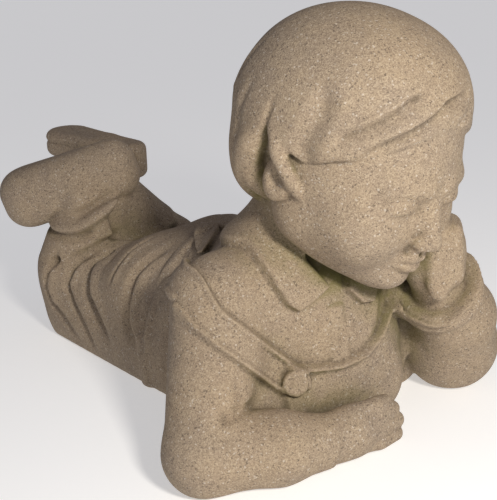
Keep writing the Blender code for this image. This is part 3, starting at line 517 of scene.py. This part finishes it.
# Braces: their middle lines from the front (x, z) and from above (x, y), which meet at y = CREST.
CREST = 0.09
BRACES_FRONT = [[(-0.286, 0.364), (-0.590, 0.675), (-0.640, 0.740), (-0.655, 0.830), (-0.655, 1.000)],
                [(0.410, 0.560), (0.600, 0.720), (0.655, 0.790), (0.668, 0.870), (0.668, 1.000)]]
BRACES_ABOVE = [[(-0.655, -0.10), (-0.655, 0.16), (-0.600, 0.30), (-0.030, 0.96)],
                [(0.668, -0.10), (0.668, 0.16), (0.610, 0.30), (0.070, 0.96)]]
# Outlines of the bib and of the two collar leaves seen from the front (x, z).
BIB = [(-0.34, -0.10), (-0.34, 0.30), (-0.29, 0.44), (-0.18, 0.405), (-0.04, 0.39), (0.10, 0.41),
       (0.22, 0.47), (0.34, 0.57), (0.43, 0.65), (0.52, 0.56), (0.52, -0.10)]
RIGHT_LEAF = [(-0.03, 0.755), (-0.12, 0.71), (-0.205, 0.672), (-0.25, 0.71), (-0.285, 0.80), (-0.31, 0.93),
              (-0.28, 1.20), (-0.15, 1.20), (-0.10, 0.88)]
LEFT_LEAF = [(0.06, 0.72), (0.13, 0.635), (0.21, 0.625), (0.27, 0.71), (0.32, 0.84), (0.36, 0.98),
             (0.32, 1.20), (0.18, 1.20), (0.13, 0.90)]


def raised(region, height, edge=0.011):
    """Height of a cloth layer that covers the region and ends in a soft step."""
    return height * (1 - smooth(region, -edge, edge))


def bib_relief(p):
    """Bib with its hem, waistband and shirt front on the trunk."""
    x, y, z = p.T
    front = y - 0.22
    bib = np.maximum(polygon(x, z, BIB), front)
    relief = raised(bib, SLEEVE_STEP * 0.8)
    hem = np.maximum(np.abs(bib + 0.012) - 0.012, np.maximum(0.36 - z, x - 0.36))
    relief = relief + raised(hem, 0.020, 0.009)
    relief = np.maximum(relief, raised(np.abs(y - 0.965) - 0.040, SLEEVE_STEP * 0.6, 0.020))
    placket = np.maximum(np.abs(x + 0.015) - 0.045, np.maximum(np.maximum(0.38 - z, z - 0.66), front))
    relief = np.maximum(relief, raised(placket, 0.012))
    for path, width, depth in CHEST_FOLDS:
        relief = relief + depth * line(x, z, path, width) * (front < 0)
    return relief


def brace_relief(p):
    """Braces and shirt collar, which lie over the trunk and the sleeves."""
    x, y, z = p.T
    front, above = np.stack([x, z], 1), np.stack([x, y], 1)
    ahead = np.minimum.reduce([chain(front, path, [STRAP_HALF] * len(path)) for path in BRACES_FRONT])
    behind = np.minimum.reduce([chain(above, path, [STRAP_HALF] * len(path)) for path in BRACES_ABOVE])
    straps = np.where(y < CREST, np.maximum(ahead, 0.318 - z), both(behind, 0.76 - z, 0.10))
    relief = raised(straps, SLEEVE_STEP)
    relief = relief - 0.012 * (1 - smooth(np.abs(straps - 0.019), 0.0, 0.016))
    relief = relief + 0.008 * (1 - smooth(np.abs(straps + 0.016), 0.0, 0.012))
    relief = relief - 0.005 * (1 - smooth(np.abs(straps + 0.034), 0.0, 0.010))
    leaves = np.maximum(np.minimum(polygon(x, z, RIGHT_LEAF), polygon(x, z, LEFT_LEAF)), y - 0.12)
    ring = both(blob(p, (0.02, 0.22, 0.98), (0.36, 0.30, 0.20)), 0.06 - y, 0.02)
    collar = union(leaves, ring, 0.02)
    relief = relief - 0.009 * (1 - smooth(np.abs(collar - 0.016), 0.0, 0.014))
    return np.maximum(relief, raised(collar, COLLAR_STEP, 0.009))


def button(p):
    q = p - vec(*BUTTON_AT)
    facing = vec(-0.35, -0.90, 0.20)
    facing /= np.linalg.norm(facing)
    height = q @ facing
    out = np.sqrt(np.maximum((q * q).sum(1) - height * height, 0))
    disc = both(np.abs(height) - 0.030, out - 0.060, 0.014)
    return union(disc, np.hypot(out - 0.046, height - 0.024) - 0.011, 0.010)


def arm_creases(p):
    relief = np.zeros(len(p), np.float32)
    for path, width, depth in CREASES:
        near = chain(p, path, [0.0] * len(path))
        relief = relief + depth * (1 - smooth(near, 0, width))
    return relief


# Path and depth of the hollow in the shirt, and the middles of the hands and of the feet.
WAIST, WAIST_DEPTH = [(-0.44, 0.62, 0.62), (-0.48, 0.68, 0.35), (-0.50, 0.64, 0.05)], 0.055
HANDS_AT, FEET_AT = (0.20, -0.35, 0.50), (-0.25, 2.25, 1.0)


def waist_hollow(p):
    """Hollow of the shirt behind the elbow."""
    return WAIST_DEPTH * (1 - smooth(chain(p, WAIST, [0.0] * len(WAIST)), 0.02, 0.15))


def figure(p):
    """Distance to the whole figure at points p, negative inside."""
    trunk = union(torso(p), legs(p), 0.12)
    y = p[:, 1]
    arms = sleeves(p)
    near = np.minimum(np.abs(trunk), np.abs(arms)) < 0.12
    trunk = trunk + relief_where(p, near & (y > 0.7), lambda q: seat_folds(q) + shin_folds(q))
    trunk = trunk + relief_where(p, (np.abs(trunk) < 0.12) & (y > 0.3) & (y < 1.0), waist_hollow)
    arms = arms + relief_where(p, near & (y < 0.0), arm_creases)
    upper = near & (y < 1.15)
    trunk = trunk - relief_where(p, upper, bib_relief)
    dressed = union(trunk, arms, 0.05) - relief_where(p, upper, brace_relief)
    dressed = union(dressed, within(p, BUTTON_AT, 0.15, button), 0.006)
    d = union(dressed, within(p, HANDS_AT, 0.75, hands), 0.015)
    d = union(d, within(p, HEAD_AT, 0.85, head), 0.03)
    d = union(d, within(p, FEET_AT, 0.80, feet), 0.025)
    return both(d, -p[:, 2], 0.02)


# Corners of the box that holds the figure, small cells along a coarse one, rounds of evening out and
# points worked out at a time.
LOW, HIGH = (-1.15, -1.0, -0.06), (1.15, 3.0, 2.15)
COARSE = 6
ROUNDS = 3
EVEN_IN, EVEN_OUT = 0.50, -0.52
BATCH = 300000


def sampled(field, points):
    return np.concatenate([field(points[i:i + BATCH]) for i in range(0, len(points), BATCH)])


def grid_of(cell):
    """Field values on a grid of the given cell, worked out only near the surface."""
    low = np.array(LOW)
    n = np.ceil((np.array(HIGH) - low) / (cell * COARSE)).astype(int) * COARSE + 1
    m = (n - 1) // COARSE + 1
    ticks = [low[i] + np.arange(m[i]) * cell * COARSE for i in range(3)]
    nodes = np.stack(np.meshgrid(*ticks, indexing='ij'), -1).reshape(-1, 3).astype(np.float32)
    rough = sampled(figure, nodes).reshape(m)
    near = np.abs(rough) < cell * COARSE * 2.1
    live = np.zeros(m - 1, bool)
    for i in (0, 1):
        for j in (0, 1):
            for k in (0, 1):
                live |= near[i:m[0] - 1 + i, j:m[1] - 1 + j, k:m[2] - 1 + k]
    band = np.zeros(n, bool)
    for i, j, k in np.argwhere(live) * COARSE:
        band[i:i + COARSE + 1, j:j + COARSE + 1, k:k + COARSE + 1] = True
    values = rough[:-1, :-1, :-1].repeat(COARSE, 0).repeat(COARSE, 1).repeat(COARSE, 2)
    values = np.pad(values, ((0, 1),) * 3, mode='edge').astype(np.float32)
    where = np.flatnonzero(band)
    points = (low + np.stack(np.unravel_index(where, n), 1) * cell).astype(np.float32)
    values.reshape(-1)[where] = sampled(figure, points)
    return joined(values, cell), low


def joined(values, cell):
    """Fills the grid points where the solid meets itself only along an edge or at a corner."""
    inside = values < 0
    corner = [(i, j, k) for i in (0, 1) for j in (0, 1) for k in (0, 1)]

    def part(i, j, k, span=(1, 1, 1)):
        starts = zip((i, j, k), span, inside.shape)
        return inside[tuple(slice(o, size - s + o) for o, s, size in starts)]

    changed = True
    while changed:
        changed = False
        for span in ((1, 1, 0), (1, 0, 1), (0, 1, 1)):
            first, second = [a for a in range(3) if span[a]]
            steps = np.eye(3, dtype=int)
            zero, one, two = (0, 0, 0), tuple(steps[first]), tuple(steps[second])
            three = tuple(steps[first] + steps[second])
            for pair, gap in (((zero, three), (one, two)), ((one, two), (zero, three))):
                bad = part(*pair[0], span) & part(*pair[1], span)
                bad = bad & ~part(*gap[0], span) & ~part(*gap[1], span)
                if bad.any():
                    part(*gap[0], span)[bad] = True
                    changed = True
        for here in corner[:4]:
            there = tuple(1 - o for o in here)
            rest = [c for c in corner if c not in (here, there)]
            alone = part(*here) & part(*there) & ~np.logical_or.reduce([part(*c) for c in rest])
            pierced = ~part(*here) & ~part(*there) & np.logical_and.reduce([part(*c) for c in rest])
            if alone.any() or pierced.any():
                part(*rest[0])[alone] = True
                part(*here)[pierced] = True
                changed = True
    filled = inside & (values >= 0)
    values[filled] = -0.2 * cell
    return values


def skin(values, low, cell):
    """Quads of the zero surface: one corner per crossed cell, one quad per crossed grid edge."""
    inside = values < 0
    flat = values.reshape(-1)
    stride = np.array([values.shape[1] * values.shape[2], values.shape[2], 1])
    ids, places, quads = [], [], []
    for axis in range(3):
        first, second = [slice(None)] * 3, [slice(None)] * 3
        first[axis], second[axis] = slice(0, -1), slice(1, None)
        cross = np.argwhere(inside[tuple(first)] != inside[tuple(second)])
        start = cross @ stride
        d0, d1 = flat[start], flat[start + stride[axis]]
        place = cross.astype(float)
        place[:, axis] += d0 / (d0 - d1)
        u, v = (axis + 1) % 3, (axis + 2) % 3
        steps = ((-1, -1), (0, -1), (0, 0), (-1, 0))
        around = [start + du * stride[u] + dv * stride[v] for du, dv in steps]
        quad = np.stack(around, 1)
        backward = d0 > 0
        quad[backward] = quad[backward][:, ::-1]
        ids += around
        places += [place] * 4
        quads.append(quad)
    cells, index = np.unique(np.concatenate(ids), return_inverse=True)
    places = np.concatenate(places)
    share = np.bincount(index)
    corners = np.stack([np.bincount(index, places[:, i]) / share for i in range(3)], 1) * cell + low
    return corners, np.searchsorted(cells, np.concatenate(quads))


def evened(corners, quads, rounds):
    """The surface without the small steps of the grid: corners go toward their neighbours and back."""
    start = np.concatenate([quads.ravel(), np.roll(quads, -1, 1).ravel()])
    end = np.concatenate([np.roll(quads, -1, 1).ravel(), quads.ravel()])
    count = np.bincount(start, minlength=len(corners))[:, None]
    for step in [EVEN_IN, EVEN_OUT] * rounds:
        mean = np.stack([np.bincount(start, corners[end, i], len(corners)) for i in range(3)], 1) / count
        corners = corners + step * (mean - corners)
    return corners


def outer_shell(corners, quads):
    """The surface that is reached from its highest corner, without the sealed hollows inside it."""
    reached = np.zeros(len(corners), bool)
    reached[corners[:, 2].argmax()] = True
    count = 0
    while reached.sum() > count:
        count = reached.sum()
        reached[quads[reached[quads].any(1)]] = True
    order = np.cumsum(reached) - 1
    quads = order[quads[reached[quads[:, 0]]]]
    return evened(corners[reached], quads, ROUNDS), quads


def added(name, data):
    """A new object of the scene that shows the data."""
    item = bpy.data.objects.new(name, data)
    bpy.context.scene.collection.objects.link(item)
    return item


def from_figure(x, y, z):
    """A point given in figure units, in metres in the shared frame."""
    return np.array([x - MIDDLE[0], y - MIDDLE[1], z]) * UNIT


def figure_mesh():
    """The figure's fine mesh in metres, standing where the CAD solid stands."""
    cell = FINE_CELL * 1
    values, low = grid_of(cell)
    corners, quads = outer_shell(*skin(values, low, cell))
    corners = (corners - [*MIDDLE, corners[:, 2].min()]) * UNIT
    mesh = bpy.data.meshes.new('boy_stone')
    mesh.from_pydata(corners.tolist(), [], quads.tolist())
    mesh.shade_smooth()
    boy = added('boy_stone', mesh)
    thin = boy.modifiers.new('thin', 'DECIMATE')
    thin.ratio = min(1, FINE_TRIANGLES / (2 * len(quads)))
    return boy


class Graph:
    """Short way to add and join shader nodes."""

    def __init__(self, material):
        material.use_nodes = True
        self.nodes, self.links = material.node_tree.nodes, material.node_tree.links
        self.shader = self.nodes['Principled BSDF']

    def add(self, kind, inputs=(), **settings):
        node = self.nodes.new('ShaderNode' + kind)
        for name, value in settings.items():
            setattr(node, name, value)
        for key, value in dict(inputs).items():
            socket = node.inputs[key]
            if isinstance(value, bpy.types.NodeSocket):
                self.links.new(value, socket)
            else:
                socket.default_value = value
        return node

    def noise(self, at, scale, detail, roughness):
        inputs = {'Vector': at, 'Scale': scale, 'Detail': detail, 'Roughness': roughness}
        return self.add('TexNoise', inputs).outputs['Fac']

    def grains(self, at, size):
        """A random number for each small grain of the stone, of the given size in metres."""
        node = self.add('TexVoronoi', {'Vector': at, 'Scale': 1 / size})
        return self.add('SeparateColor', {'Color': node.outputs['Color']}).outputs[0]

    def openness(self, reach):
        """1 in the open and less where stone stands around the place, within reach in metres."""
        node = self.add('AmbientOcclusion', {'Distance': reach}, samples=NOOK_RAYS, only_local=True)
        return node.outputs['AO']

    def span(self, value, low, high, start=0.0, end=1.0):
        """From start at low to end at high, and level beyond them."""
        inputs = {'Value': value, 'From Min': low, 'From Max': high, 'To Min': start, 'To Max': end}
        return self.add('MapRange', inputs).outputs['Result']

    def math(self, operation, a, b):
        return self.add('Math', {0: a, 1: b}, operation=operation).outputs[0]

    def mix(self, share, a, b):
        node = self.add('Mix', data_type='RGBA')
        for index, value in ((0, share), (6, a), (7, b)):
            if isinstance(value, bpy.types.NodeSocket):
                self.links.new(value, node.inputs[index])
            else:
                node.inputs[index].default_value = value
        return node.outputs[2]


def stone_material():
    """Sandy cast stone with fine light and dark grains, dirt and painted shade in the hollows, painted
    shade in the creases, painted highlight and wear on the crests, and a green tint of moss.
    """
    material = bpy.data.materials.new('cast_stone')
    graph = Graph(material)
    at = graph.add('TexCoord').outputs['Object']
    broad = graph.noise(at, *BROAD)
    patch = graph.noise(at, *PATCH)
    fine = graph.noise(at, *FINE)
    broken = graph.noise(at, *BROKEN)
    base = graph.mix(graph.span(broad, *GREY_SPAN), SAND, SAND_GREY)
    base = graph.mix(graph.span(patch, *PALE_SPAN), base, SAND_PALE)
    small = graph.grains(at, GRAIN)
    speck = graph.grains(at, SPECK)
    base = graph.mix(graph.span(small, *DARK_GRAINS), base, GRAIN_DARK)
    base = graph.mix(graph.span(small, *PALE_GRAINS), base, GRAIN_PALE)
    base = graph.mix(graph.span(speck, *BLACK_SPECKS), base, GRAIN_BLACK)
    base = graph.mix(graph.span(speck, *WHITE_SPECKS), base, GRAIN_WHITE)
    nook = graph.openness(NOOK_REACH)
    middle = from_figure(*MOSS_AT).tolist()
    away = graph.add('VectorMath', {0: at, 1: middle}, operation='DISTANCE').outputs['Value']
    damp = graph.span(away, *MOSS_REACH)
    moss = graph.math('MULTIPLY', graph.span(nook, *MOSS_NOOK), graph.span(patch, *MOSS_PATCH))
    moss = graph.math('MULTIPLY', moss, graph.span(damp, *MOSS_SHARE))
    base = graph.mix(moss, base, MOSS)
    # Dirt and painted shade, in broken patches, where stone stands close around.
    hollow = graph.openness(HOLLOW_REACH)
    dirt_and_shade = graph.math('MULTIPLY', graph.span(hollow, *DIRT_SHADE_HOLLOW), graph.span(broken, *DIRT_SHADE_BROKEN))
    base = graph.mix(graph.math('MULTIPLY', dirt_and_shade, DIRT_SHADE_SHARE), base, DIRT_AND_SHADE)
    # Painted shade in the creases, from the bend of the mesh.
    bend = graph.add('NewGeometry').outputs['Pointiness']
    crease = graph.span(bend, *CREASE_BEND)
    base = graph.mix(graph.math('MULTIPLY', crease, CREASE_SHARE), base, DIRT_AND_SHADE)
    # Painted highlight and wear on the crests, from the bend of the mesh.
    crest = graph.span(bend, *CREST_BEND)
    base = graph.mix(graph.math('MULTIPLY', crest, CREST_SHARE), base, SAND_PALE)
    graph.links.new(base, graph.shader.inputs['Base Color'])
    graph.shader.inputs['Roughness'].default_value = STONE_ROUGHNESS
    graph.shader.inputs['Specular IOR Level'].default_value = STONE_GLOSS
    height = graph.math('ADD', graph.math('MULTIPLY', small, GRAIN_LIFT), fine)
    strength, depth = GRAIN_BUMP
    rough = graph.add('Bump', {'Strength': strength, 'Distance': depth, 'Height': height})
    strength, depth = WORN_BUMP
    worn = graph.add('Bump', {'Strength': strength, 'Distance': depth, 'Height': patch,
                              'Normal': rough.outputs['Normal']})
    graph.links.new(worn.outputs['Normal'], graph.shader.inputs['Normal'])
    return material


def floor():
    mesh = bpy.data.meshes.new('floor')
    corners = [(x * FLOOR_HALF, y * FLOOR_HALF, 0) for x, y in ((-1, -1), (1, -1), (1, 1), (-1, 1))]
    mesh.from_pydata(corners, [], [(0, 1, 2, 3)])
    material = bpy.data.materials.new('floor')
    material.use_nodes = True
    shader = material.node_tree.nodes['Principled BSDF']
    shader.inputs['Base Color'].default_value = FLOOR
    shader.inputs['Roughness'].default_value = FLOOR_ROUGHNESS
    shader.inputs['Emission Color'].default_value = FLOOR
    shader.inputs['Emission Strength'].default_value = FLOOR_GLOW
    mesh.materials.append(material)
    ground = added('floor', mesh)


def aim(item, place, target, tip=(0, 0, 1)):
    """Puts item at place with its -Z axis toward target and its +Y axis as near to tip as it goes."""
    place, target = np.array(place, float), np.array(target, float)
    back = (place - target) / np.linalg.norm(place - target)
    right = np.cross(tip, back)
    right /= np.linalg.norm(right)
    turn = np.eye(4)
    turn[:3, 0], turn[:3, 1], turn[:3, 2], turn[:3, 3] = right, np.cross(back, right), back, place
    item.matrix_world = Matrix(turn.tolist())


def studio():
    """Pale even sky and one small warm lamp, near enough that the feet get less of it."""
    world = bpy.data.worlds.new('sky')
    bpy.context.scene.world = world
    world.use_nodes = True
    sky = world.node_tree.nodes['Background']
    sky.inputs['Color'].default_value = SKY
    sky.inputs['Strength'].default_value = SKY_POWER
    data = bpy.data.lights.new('key', 'AREA')
    data.shape = 'DISK'
    data.size = KEY_SIZE
    data.energy = KEY_POWER
    data.color = KEY_TINT
    aim(added('key', data), from_figure(*KEY_AT), from_figure(*LIT))
    bpy.context.scene.view_settings.view_transform = 'Standard'


def camera():
    data = bpy.data.cameras.new('camera')
    data.sensor_width = SENSOR_WIDTH
    data.lens = LENS
    eye = added('camera', data)
    place = from_figure(*CAMERA_AT)
    aim(eye, place, place - np.array(CAMERA_BACK), CAMERA_UP)
    bpy.context.scene.camera = eye


boy = figure_mesh()
boy.data.materials.append(stone_material())
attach(boy, 'root')
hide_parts('boy_figure')
floor()
studio()
camera()
